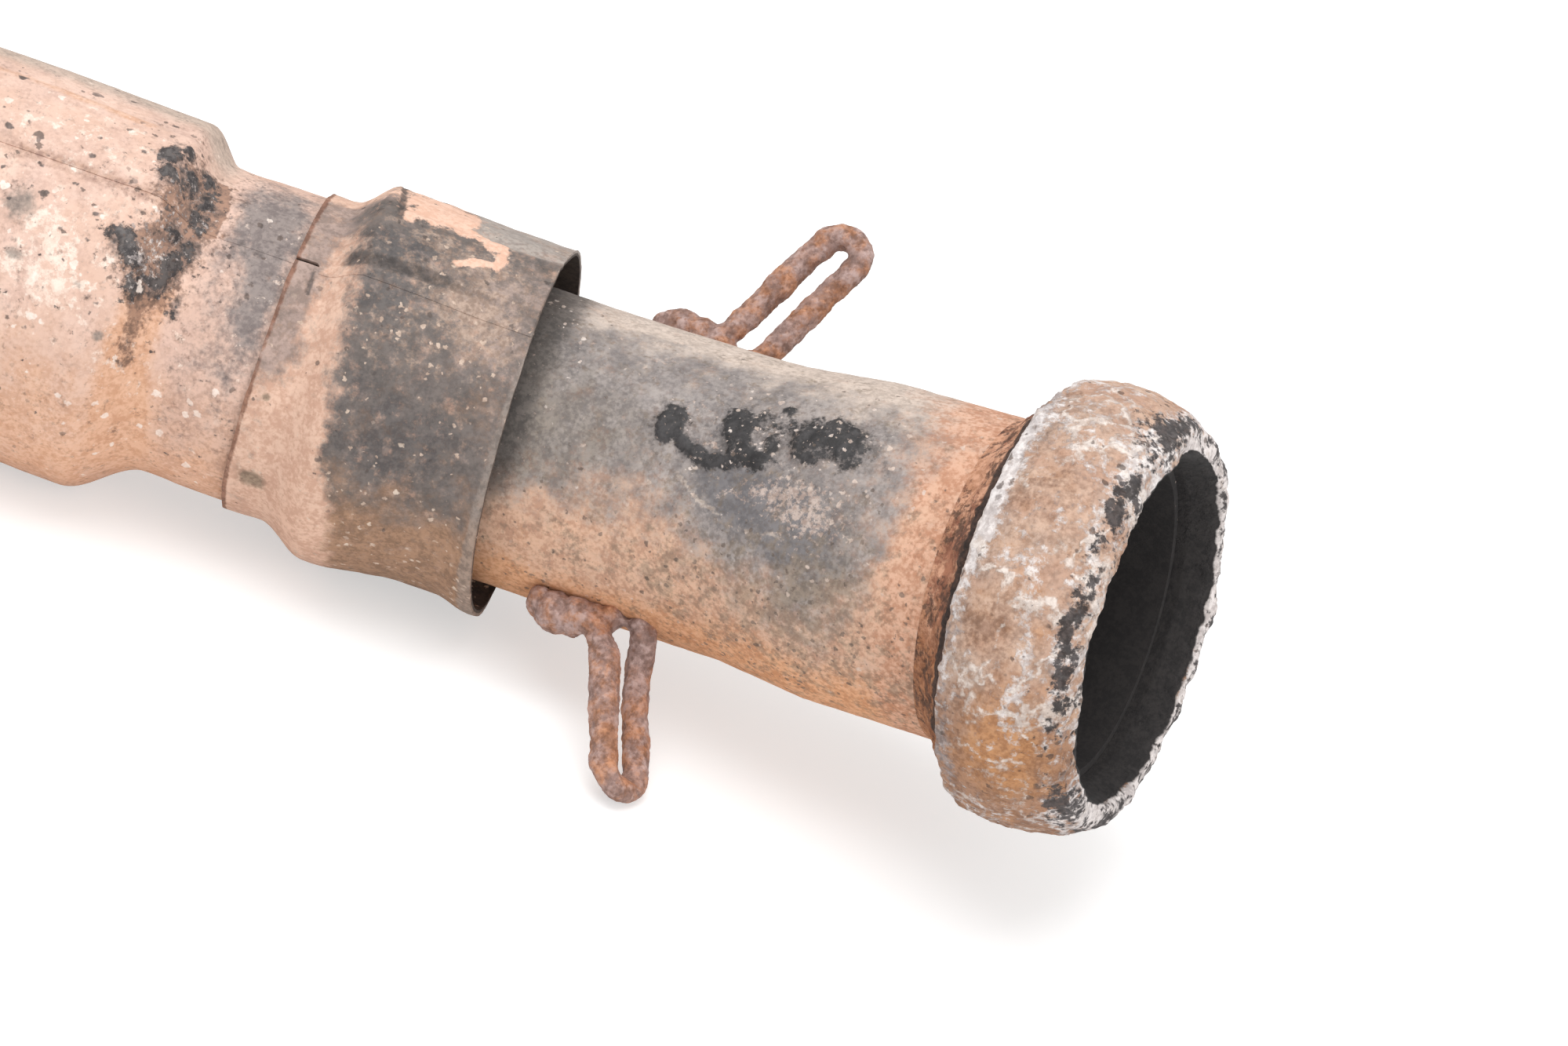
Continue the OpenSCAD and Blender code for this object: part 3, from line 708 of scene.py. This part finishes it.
def hook_points(station, turn, twist, flat):
    """World points of a hook from its own (along, out, across) points in mm.

    The hook stands on a straight line that touches the bend at its seat, and its loop is turned
    by twist radians about the middle of its legs.
    """
    seat = station - SEAT_SHIFT
    centre = on_pipe(np.array(seat), 0.0, 0.0)
    ahead = on_pipe(np.array(seat + 0.5), 0.0, 0.0) - on_pipe(np.array(seat - 0.5), 0.0, 0.0)
    ahead = ahead / np.linalg.norm(ahead)
    out = on_pipe(np.array(seat), turn, 1.0) - centre
    out = out / np.linalg.norm(out)
    across = np.cross(ahead, out)
    middle = SEAT_SHIFT + (flat[..., 1] - TUBE_R) * np.tan(HOOK_LEAN)
    offset = flat[..., 0] - middle
    amount = twist * ease(TUBE_R + 1, TUBE_R + 8, flat[..., 1]) * ease(-9, -5, offset)
    along = middle + offset * np.cos(amount) + flat[..., 2] * np.sin(amount)
    sideways = flat[..., 2] * np.cos(amount) - offset * np.sin(amount)
    return centre + (along[..., None] * ahead + flat[..., 1:2] * out + sideways[..., None] * across) * MM


def rod_rings(path, radius, sides=28):
    """The rings of a rod swept along a plane path, each square to the path's direction."""
    step = np.gradient(path, axis=0)
    step = step / np.linalg.norm(step, axis=1, keepdims=True)
    normal = np.stack([-step[:, 1], step[:, 0]], -1)
    angle = np.linspace(0, 2 * pi, sides, endpoint=False)
    rings = np.zeros((len(path), sides, 3))
    rings[..., :2] = path[:, None, :] + radius * np.cos(angle)[None, :, None] * normal[:, None, :]
    rings[..., 2] = radius * np.sin(angle)[None, :]
    return rings


def ball(centre, radii, count=28):
    """The rings of an egg-shaped lump: a sphere stretched to three radii."""
    rise = np.linspace(0.02, pi - 0.02, count)[:, None]
    angle = np.linspace(0, 2 * pi, count, endpoint=False)[None, :]
    axes = np.cos(rise), np.sin(rise) * np.cos(angle), np.sin(rise) * np.sin(angle)
    return np.array(centre) + np.stack(np.broadcast_arrays(*axes), -1) * np.array(radii)


def ring_faces(rows, sides):
    """Quads between neighbouring rings, and one many-sided face over each end."""
    row, column = np.meshgrid(np.arange(rows - 1), np.arange(sides), indexing="ij")
    ahead = (column + 1) % sides
    corners = (row * sides + column, row * sides + ahead,
               (row + 1) * sides + ahead, (row + 1) * sides + column)
    quads = np.stack([corner.ravel() for corner in corners], -1)
    first = list(range(sides))[::-1]
    last = [(rows - 1) * sides + k for k in range(sides)]
    return quads.tolist() + [first, last]


def joined(name, shapes):
    """One piece from closed grids of rings, fused by a voxel remesh."""
    vertices, faces = [], []
    for shape in shapes:
        start = sum(len(v) for v in vertices)
        vertices.append(shape.reshape(-1, 3))
        faces += [[start + k for k in face] for face in ring_faces(*shape.shape[:2])]
    mesh = bpy.data.meshes.new(name)
    mesh.from_pydata(np.concatenate(vertices).tolist(), [], faces)
    piece = placed(name, mesh)
    remesh = piece.modifiers.new("join", "REMESH")
    remesh.mode = "VOXEL"
    remesh.voxel_size = VOXEL * MM
    done = bpy.data.meshes.new_from_object(piece.evaluated_get(bpy.context.evaluated_depsgraph_get()))
    piece.modifiers.clear()
    piece.data = done
    return piece


def read_rows(mesh, what):
    """A mesh's points or normals, as rows of x, y and z."""
    values = np.zeros(len(mesh.vertices) * 3)
    mesh.vertices.foreach_get(what, values)
    return values.reshape(-1, 3)


def spring_hook(name, node, station, turn, slot, twist, seed):
    """A rod hook with its weld, then eaten away by rust in lumps and pits."""
    path = hook_path(slot)
    foot_at, foot_z = path[0]
    shapes = [rod_rings(path, ROD_R)]
    for at, drop, radii in WELD_LUMPS:
        shapes.append(ball((foot_at + at, foot_z - drop, 0.4 * np.sin(at * 2 + seed) - 0.6), radii))
    shapes.append(ball((path[-1][0] + 0.6, TUBE_R + 0.4, 0.0), END_LUMP))
    piece = joined(name, [hook_points(station, turn, twist, shape) for shape in shapes])

    mesh = piece.data
    points, normals = read_rows(mesh, "co"), read_rows(mesh, "normal")
    pits = rough(points, 1.7, seed + 7, 3)
    height = 0.26 * lumps(points, 4.2, seed) + 0.18 * pits + 0.07 * rough(points, 0.6, seed + 9, 2)
    mesh.vertices.foreach_set("co", (points + normals * height[:, None] * MM).ravel())
    mesh.polygons.foreach_set("use_smooth", np.ones(len(mesh.polygons), bool))
    turned = 0.42 + 0.30 * rough(points, 4, seed + 5)
    store_fields(mesh, {"pits": 0.45 - 0.5 * pits, "orange": turned, "mauve": 0.9 - turned})
    mesh.update()
    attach(piece, "root")
    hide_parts(node)
    return piece


# ---------------------------------------------------------------- materials
# Settings that many nodes share: a sum, a difference, a product, a product plus a third value,
# a smooth step, and a mix of colours.
PLUS = {"operation": "ADD"}
LESS = {"operation": "SUBTRACT"}
TIMES = {"operation": "MULTIPLY"}
TIMES_PLUS = {"operation": "MULTIPLY_ADD"}
SMOOTH = {"interpolation_type": "SMOOTHSTEP"}
COLOURS = {"data_type": "RGBA"}


def linear(hex_colour):
    """An sRGB hex colour as linear red, green, blue and alpha."""
    value = np.array([int(hex_colour[k:k + 2], 16) for k in (0, 2, 4)]) / 255
    bent = np.where(value <= 0.04045, value / 12.92, ((value + 0.055) / 1.055) ** 2.4)
    return (*map(float, bent), 1.0)


def add(tree, kind, settings=None, inputs=None, output=0):
    """Adds a node with its settings, sets or links its sockets, and returns one of its outputs."""
    node = tree.nodes.new(kind)
    for key, value in (settings or {}).items():
        setattr(node, key, value)
    for key, value in (inputs or {}).items():
        if isinstance(value, bpy.types.NodeSocket):
            tree.links.new(value, node.inputs[key])
        else:
            node.inputs[key].default_value = value
    return node.outputs[output] if len(node.outputs) else None


def emptied(owner):
    """The node tree of a material or a world, with nothing in it."""
    owner.use_nodes = True
    owner.node_tree.nodes.clear()
    return owner.node_tree


def grain(where, size_mm, detail, roughness):
    """What a noise needs for its largest features to be about size_mm across."""
    return {"Vector": where, "Scale": 1 / (size_mm * MM), "Detail": detail, "Roughness": roughness}


def span(value, low, high):
    """What a smooth step needs to run from 0 at low to 1 at high."""
    return {"Value": value, "From Min": low, "From Max": high}


def dotted(tree, where, density, cell_mm, order):
    """Scattered marks of their own sizes, one to a cell of cell_mm, in the share of cells density gives."""
    cell = cell_mm * MM
    moved = add(tree, "ShaderNodeVectorMath", PLUS, {0: where, 1: (0.0, 0.29 * order, 0.07)})
    wavy = add(tree, "ShaderNodeTexNoise", None, {"Vector": moved, "Scale": 1.6 / cell, "Detail": 2.0},
               "Color")
    pushed = add(tree, "ShaderNodeVectorMath", TIMES_PLUS, {0: wavy, 1: (0.9 * cell,) * 3, 2: moved})
    distance = add(tree, "ShaderNodeTexVoronoi", None, {"Vector": pushed, "Scale": 1 / cell}, "Distance")
    chance = add(tree, "ShaderNodeSeparateColor", None, {0: distance.node.outputs["Color"]})
    size = add(tree, "ShaderNodeMath", {"operation": "POWER"}, {0: chance.node.outputs[1], 1: 1.8})
    reach = add(tree, "ShaderNodeMath", TIMES_PLUS, {0: size, 1: 0.32, 2: 0.12})
    depth = add(tree, "ShaderNodeMath", LESS, {0: reach, 1: distance})
    inside = add(tree, "ShaderNodeMapRange", SMOOTH, span(depth, -0.07, 0.07))
    spare = add(tree, "ShaderNodeMath", LESS, {0: density, 1: chance})
    chosen = add(tree, "ShaderNodeMapRange", SMOOTH, span(spare, 0.0, 0.06))
    return add(tree, "ShaderNodeMath", TIMES, {0: inside, 1: chosen})


def coated(tree, finish, part, shade, light, dark, roughness, thick):
    """A (colour, roughness, height) finish with one more coat on it, as strong as part says.

    The coat's colour runs from light to dark with shade.
    """
    under, under_rough, height = finish
    coat = add(tree, "ShaderNodeMix", COLOURS, {0: shade, 6: linear(light), 7: linear(dark)}, 2)
    colour = add(tree, "ShaderNodeMix", COLOURS, {0: part, 6: under, 7: coat}, 2)
    change = add(tree, "ShaderNodeMath", LESS, {0: roughness, 1: under_rough})
    roughened = add(tree, "ShaderNodeMath", TIMES_PLUS, {0: part, 1: change, 2: under_rough})
    if thick:
        height = add(tree, "ShaderNodeMath", TIMES_PLUS, {0: part, 1: thick, 2: height})
    return colour, roughened, height


def weathered(name, base, layers, dots, relief, base_rough):
    """A worn finish: a base of three colours, then layers laid over it where their fields say.

    base is (light, middle, dark, grain in mm). Each layer is (field, light, dark, grain in mm, tear,
    edge, strength, roughness, height in mm). The field plus noise of that grain, scaled by tear, is
    cut at a half with a soft edge. Each of the dots is (field, light, dark, cell in mm, strength,
    roughness, height in mm), with the field as the share of cells that hold a mark. relief is a
    list of (grain in mm, height in mm) for the fine bump over all.
    """
    material = bpy.data.materials.new(name)
    tree = emptied(material)
    where = add(tree, "ShaderNodeTexCoord", output="Object")
    fine = add(tree, "ShaderNodeTexNoise", None, grain(where, 0.8, 3, 0.6))
    speckle = add(tree, "ShaderNodeMath", LESS, {0: fine, 1: 0.5})
    tone = add(tree, "ShaderNodeTexNoise", None, grain(where, 3.0, 5, 0.68))
    tone = add(tree, "ShaderNodeMath", TIMES_PLUS, {0: speckle, 1: 0.9, 2: tone})
    shade = add(tree, "ShaderNodeMapRange", SMOOTH, span(tone, 0.33, 0.67))
    light, middle, dark, size = base
    wide = add(tree, "ShaderNodeTexNoise", None, grain(where, size, 5, 0.62))
    wide = add(tree, "ShaderNodeMapRange", SMOOTH, span(wide, 0.34, 0.68))
    ground = add(tree, "ShaderNodeMix", COLOURS, {0: wide, 6: linear(light), 7: linear(middle)}, 2)
    darker = add(tree, "ShaderNodeMath", TIMES, {0: shade, 1: 0.5})
    ground = add(tree, "ShaderNodeMix", COLOURS, {0: darker, 6: ground, 7: linear(dark)}, 2)
    finish = ground, base_rough, 0.0
    for order, (source, light, dark, size, tear, edge, strength, roughness, thick) in enumerate(layers):
        lies = add(tree, "ShaderNodeAttribute", {"attribute_name": source}, output="Fac")
        moved = add(tree, "ShaderNodeVectorMath", PLUS, {0: where, 1: (0.37 * order, 0.11, 0.0)})
        own = add(tree, "ShaderNodeTexNoise", None, grain(moved, size, 5, 0.70))
        own = add(tree, "ShaderNodeMath", LESS, {0: own, 1: 0.5})
        torn = add(tree, "ShaderNodeMath", TIMES_PLUS, {0: own, 1: tear * 2.2, 2: lies})
        torn = add(tree, "ShaderNodeMath", TIMES_PLUS, {0: speckle, 1: tear * 0.6, 2: torn})
        part = add(tree, "ShaderNodeMapRange", SMOOTH, span(torn, 0.5 - edge, 0.5 + edge))
        part = add(tree, "ShaderNodeMath", TIMES, {0: part, 1: strength})
        finish = coated(tree, finish, part, shade, light, dark, roughness, thick)
    for order, (source, light, dark, cell, strength, roughness, thick) in enumerate(dots):
        lies = add(tree, "ShaderNodeAttribute", {"attribute_name": source}, output="Fac")
        part = dotted(tree, where, lies, cell, order)
        part = add(tree, "ShaderNodeMath", TIMES, {0: part, 1: strength})
        finish = coated(tree, finish, part, shade, light, dark, roughness, thick)
    colour, roughness, height = finish
    for size, tall in relief:
        bumps = add(tree, "ShaderNodeTexNoise", None, grain(where, size, 4, 0.65))
        height = add(tree, "ShaderNodeMath", TIMES_PLUS, {0: bumps, 1: tall, 2: height})
    bump = add(tree, "ShaderNodeBump", None, {"Height": height, "Distance": MM, "Strength": 1.0})
    surface = add(tree, "ShaderNodeBsdfPrincipled", None,
                  {"Base Color": colour, "Roughness": roughness, "Normal": bump})
    add(tree, "ShaderNodeOutputMaterial", None, {"Surface": surface})
    return material


def tube_finish():
    """Mild-steel tube under a charcoal heat film, with road dust baked on in patches and burnt tar, and
    painted shade and glints.
    """
    return weathered("heat_stained_steel", ("aca29d", "918884", "6f6867", 7.0), [
        # Khaki staining, and painted shade beside the front shield.
        ("olive", "8b8073", "71675d", 5.0, 0.60, 0.40, 0.75, 0.80, 0.0),
        ("murk", "77706d", "5f5a5a", 7.0, 0.90, 0.45, 0.70, 0.75, 0.0),
        ("tan", "dbc9bb", "c0afa2", 4.6, 0.90, 0.46, 0.85, 0.85, 0.02),
        ("dust", "e0b79b", "c69a80", 4.2, 0.62, 0.42, 0.92, 0.92, 0.04),
        ("low", "e4ad84", "c98e63", 6.0, 0.55, 0.45, 0.90, 0.92, 0.02),
        ("rust", "dcae94", "bd8769", 4.0, 0.60, 0.42, 0.85, 0.92, 0.04),
        ("smooth", "6d6b6e", "5b595c", 5.0, 0.45, 0.34, 0.80, 0.60, 0.0),
        ("smoke", "5d5756", "453f3d", 2.4, 0.80, 0.32, 0.70, 0.80, 0.0),
        ("stain", "94826f", "76685a", 2.6, 1.10, 0.26, 0.60, 0.85, 0.0),
        ("shadow", "5b5450", "443f3c", 4.0, 0.35, 0.40, 0.80, 0.80, 0.0),
        ("scratch", "cfbfb2", "a8988c", 0.9, 0.70, 0.25, 0.60, 0.70, -0.02),
        ("tar", "333031", "1b191a", 2.2, 0.62, 0.12, 0.96, 0.58, 0.05),
        ("scuff", "dcc6b9", "b39b8e", 1.0, 1.25, 0.20, 0.62, 0.85, 0.02),
        ("soot", "353130", "2a2727", 6.0, 0.10, 0.20, 1.00, 0.85, 0.0),
    ], [
        ("pits", "73645a", "554a43", 1.05, 0.70, 0.85, -0.04),
        ("pale", "e2cec0", "c0aca0", 1.2, 0.65, 0.90, 0.02),
        # Pale spots: dust, and painted glints over the tar.
        ("sparks", "e6d8cf", "c8b4a8", 0.9, 0.80, 0.80, 0.02),
    ], [(1.2, 0.06), (0.35, 0.03)], 0.66)


def rear_finish():
    """Pressed sheet steel under a baked skin of pink-tan dust, with splashes of burnt tar, painted glints
    on the tar and painted shade along the parting line.
    """
    return weathered("dusted_sheet_steel", ("e8c8b7", "dcb9a6", "cea894", 14.0), [
        ("mauve", "d3b5a9", "bd9f94", 8.0, 0.70, 0.45, 0.50, 0.88, 0.0),
        ("orange", "e6b592", "cf976f", 7.0, 0.55, 0.45, 0.70, 0.90, 0.0),
        ("top", "c4b2a3", "a5968a", 6.0, 0.45, 0.45, 0.85, 0.85, 0.0),
        ("pinkish", "d0b0a1", "b39689", 6.0, 0.60, 0.45, 0.70, 0.88, 0.0),
        ("film", "837d7b", "666263", 4.0, 0.80, 0.42, 0.85, 0.75, 0.0),
        ("flecks", "f8e6d8", "ecd2c2", 2.4, 1.15, 0.16, 0.85, 0.92, 0.03),
        # Rust, and painted shade along the parting line.
        ("groove", "ad8871", "86655a", 2.4, 0.55, 0.42, 0.75, 0.90, 0.0),
        ("rust", "9b7661", "655046", 2.0, 0.85, 0.24, 0.85, 0.90, 0.05),
        ("smudge", "96897f", "77706a", 1.5, 0.50, 0.30, 0.80, 0.80, 0.0),
        ("smoke", "80706a", "524843", 2.4, 1.10, 0.30, 0.74, 0.80, 0.0),
        ("tar", "54504f", "2c282a", 1.5, 0.95, 0.12, 0.92, 0.45, 0.08),
        # Painted glints over the tar.
        ("specks", "e9dcd4", "9c9290", 1.0, 1.00, 0.12, 0.80, 0.70, 0.05),
        ("inside", "3a3432", "2c2827", 6.0, 0.10, 0.10, 1.00, 0.90, 0.0),
    ], [
        ("dots", "685d5a", "403a38", 2.3, 0.88, 0.70, 0.05),
        ("grit", "6a5a52", "4a3f3a", 1.3, 0.75, 0.80, 0.03),
        ("chips", "faeee4", "efdccf", 1.8, 0.75, 0.90, 0.03),
    ], [(1.5, 0.05), (0.4, 0.025)], 0.84)


def front_finish():
    """Pressed sheet steel burnt to a charcoal film, with thick dust patches, soil and pale spots, and
    painted light and shade.
    """
    return weathered("burnt_sheet_steel", ("756b66", "635b56", "4b4543", 7.0), [
        ("deep", "5b5756", "474344", 4.0, 0.70, 0.42, 0.80, 0.70, 0.0),
        ("facet", "b3a89f", "9a8f88", 6.0, 0.25, 0.30, 0.92, 0.66, 0.0),
        # Painted light on the flat top face.
        ("veil", "b09a90", "86776f", 3.2, 1.05, 0.34, 0.74, 0.82, 0.0),
        ("soil", "b68d6e", "927056", 5.0, 0.75, 0.45, 0.78, 0.88, 0.02),
        ("mauve", "bda398", "978379", 5.0, 0.55, 0.45, 0.90, 0.86, 0.0),
        ("flecks", "c4aa98", "9a8272", 1.8, 1.00, 0.28, 0.70, 0.88, 0.03),
        ("dust", "e6c2ac", "cfa690", 3.0, 0.95, 0.46, 0.92, 0.92, 0.04),
        ("patch", "efc8b2", "e0b49c", 2.0, 0.62, 0.14, 0.94, 0.95, 0.08),
        ("hole", "8d7c69", "6b5d4e", 1.8, 0.40, 0.30, 0.85, 0.88, 0.0),
        ("edge", "9c8f86", "776d66", 1.6, 0.60, 0.35, 0.60, 0.55, 0.0),
        # Painted shade in the folds and beside the slit.
        ("crease", "534b48", "3e3835", 2.0, 0.55, 0.48, 0.80, 0.80, 0.0),
        ("ring", "8b5f4a", "6a4839", 1.4, 0.50, 0.30, 0.85, 0.90, 0.0),
        ("inside", "5c5048", "453c37", 4.0, 0.10, 0.10, 1.00, 0.90, 0.0),
    ], [
        ("grit", "5c504a", "413936", 1.3, 0.70, 0.80, -0.03),
        ("pale", "e6d4c3", "ccb4a1", 1.35, 0.80, 0.88, 0.05),
        ("fine_pale", "d9c2b0", "b79f8e", 1.1, 0.80, 0.88, 0.03),
    ], [(1.4, 0.07), (0.4, 0.035)], 0.68)


def collar_finish():
    """Mild steel flange gone to flaky brown rust, dusted on the side that faces up, with painted shade
    where it meets the gasket.
    """
    return weathered("flaking_rust", ("ab745a", "8c5a44", "653f31", 3.0), [
        ("flake", "dba98c", "bb8869", 1.8, 1.15, 0.24, 0.85, 0.92, 0.10),
        ("low", "b07a52", "855437", 3.0, 0.60, 0.40, 0.80, 0.92, 0.03),
        ("cracks", "5e443a", "3a2c24", 1.4, 1.00, 0.16, 0.80, 0.92, -0.08),
        # Painted shade where the collar meets the gasket.
        ("deep", "4a3932", "2c2421", 2.0, 0.45, 0.30, 0.95, 0.95, 0.0),
    ], [], [(0.9, 0.14), (0.3, 0.05)], 0.9)


def gasket_finish():
    """Graphite and wire-mesh gasket baked to a tan crust, with white ash in veins and soot at the bore."""
    return weathered("baked_gasket_crust", ("cfb09b", "bd9883", "9d7b68", 7.0), [
        ("grime", "ad988c", "8b7669", 4.6, 0.75, 0.36, 0.70, 0.92, 0.02),
        ("brown", "a1775b", "785641", 3.4, 0.85, 0.38, 0.80, 0.92, 0.0),
        ("orange", "c9915f", "a9744a", 5.0, 0.75, 0.42, 0.75, 0.92, 0.03),
        ("slate", "a8a4a6", "7d797b", 3.0, 0.95, 0.24, 0.70, 0.92, 0.04),
        ("white", "f2ecea", "cbc3c1", 2.0, 1.05, 0.22, 0.86, 0.95, 0.12),
        ("veins", "efe4dc", "cfc0b6", 1.0, 0.60, 0.22, 0.85, 0.95, 0.12),
        ("soot", "4a4444", "242021", 2.0, 0.95, 0.12, 0.94, 0.80, -0.08),
        ("bore", "353130", "262323", 1.6, 0.10, 0.20, 1.00, 0.85, 0.0),
    ], [
        ("peppers", "5d4a40", "3f322c", 1.6, 0.70, 0.90, -0.05),
    ], [(1.1, 0.18), (0.4, 0.08)], 0.92)


def hook_finish():
    """Round rod eaten to scaly mauve-brown rust, orange in the pits."""
    return weathered("scaled_rod_rust", ("b8968a", "a27e70", "86665a", 3.0), [
        ("mauve", "c0a9a5", "9c847e", 2.4, 0.80, 0.34, 0.72, 0.85, 0.04),
        ("orange", "c98c62", "a26a44", 2.2, 0.90, 0.30, 0.74, 0.92, 0.0),
        ("pits", "75564a", "573f35", 1.2, 0.90, 0.28, 0.50, 0.92, -0.06),
    ], [], [(0.8, 0.14), (0.3, 0.05)], 0.88)


# ---------------------------------------------------------------- stage
WHITE = (1, 1, 1, 1)
FLOOR_HALF = 6.0
LAMPS = (("key", (0.12, -0.22, 1.08), 9.5), ("fill", (0.95, -0.75, 0.35), 3.0))
LAMP_SIZE = 0.9
LAMP_AIM = (0.33, 0.0, 0.0)
LENS = 80.0
SENSOR = 36.0
CAMERA_AT = (0.3208, -0.52772, 0.25897)
CAMERA_TURNS = (62.441, -18.514, 6.531)


def paper():
    """White paper: matt in the light that it sends on, and brightened where it is seen."""
    material = bpy.data.materials.new("white_paper")
    tree = emptied(material)
    path = add(tree, "ShaderNodeLightPath").node.outputs
    seen = add(tree, "ShaderNodeMath", {"operation": "MAXIMUM"},
               {0: path["Is Camera Ray"], 1: path["Is Glossy Ray"]})
    matt = add(tree, "ShaderNodeBsdfDiffuse", None, {"Color": (0.85, 0.85, 0.85, 1)})
    shaded = add(tree, "ShaderNodeBsdfDiffuse", None, {"Color": (0.62, 0.62, 0.62, 1)})
    glow = add(tree, "ShaderNodeEmission", None, {"Color": WHITE, "Strength": 0.52})
    bright = add(tree, "ShaderNodeAddShader", None, {0: shaded, 1: glow})
    shown = add(tree, "ShaderNodeMixShader", None, {0: seen, 1: matt, 2: bright})
    add(tree, "ShaderNodeOutputMaterial", None, {"Surface": shown})
    return material


def studio():
    """Soft white light from all round, which the camera sees as plain white."""
    world = bpy.data.worlds.new("studio")
    bpy.context.scene.world = world
    tree = emptied(world)
    seen = add(tree, "ShaderNodeLightPath", output="Is Camera Ray")
    soft = add(tree, "ShaderNodeBackground", None, {"Color": WHITE, "Strength": 0.62})
    plain = add(tree, "ShaderNodeBackground", None, {"Color": WHITE, "Strength": 1.0})
    both = add(tree, "ShaderNodeMixShader", None, {0: seen, 1: soft, 2: plain})
    add(tree, "ShaderNodeOutputWorld", None, {"Surface": both})


def stage():
    """A plain pale floor under the pipe, soft studio light, and the camera."""
    mesh = bpy.data.meshes.new("floor")
    floor_z = -BODY_R * MM
    sides = ((-1, -1), (1, -1), (1, 1), (-1, 1))
    mesh.from_pydata([(x * FLOOR_HALF, y * FLOOR_HALF, floor_z) for x, y in sides], [], [(0, 1, 2, 3)])
    floor = placed("floor", mesh)
    mesh.materials.append(paper())
    studio()

    for name, at, power in LAMPS:
        lamp = bpy.data.lights.new(name, "AREA")
        lamp.shape = "SQUARE"
        lamp.size = LAMP_SIZE
        lamp.energy = power
        holder = placed(name, lamp)
        aim = np.array(LAMP_AIM) - np.array(at)
        holder.location = at
        holder.rotation_euler = (atan2(np.hypot(aim[0], aim[1]), -aim[2]), 0, atan2(-aim[0], aim[1]))

    camera = bpy.data.cameras.new("camera")
    camera.lens = LENS
    camera.sensor_width = SENSOR
    camera.clip_start = 0.01
    holder = placed("camera", camera)
    holder.location = CAMERA_AT
    holder.rotation_euler = [radians(turn) for turn in CAMERA_TURNS]
    bpy.context.scene.camera = holder
    bpy.context.scene.view_settings.view_transform = "Standard"


def dress(pieces, material):
    """Gives every piece one material."""
    for piece in pieces:
        piece.data.materials.clear()
        piece.data.materials.append(material)


stage()
dress([exhaust_tube()], tube_finish())
dress([stop_collar()], collar_finish())
dress([gasket_ring()], gasket_finish())
dress(rear_shield(), rear_finish())
dress(front_shield(), front_finish())
lower_hook = spring_hook("lower_hook_rod", "spring_hook_lower", SEAM + 71.2, 73.0, 2.7, radians(-56), 401)
upper_hook = spring_hook("upper_hook_rod", "spring_hook_upper", SEAM + 70.9, -105.5, 3.3, radians(-5), 431)
dress([lower_hook, upper_hook], hook_finish())
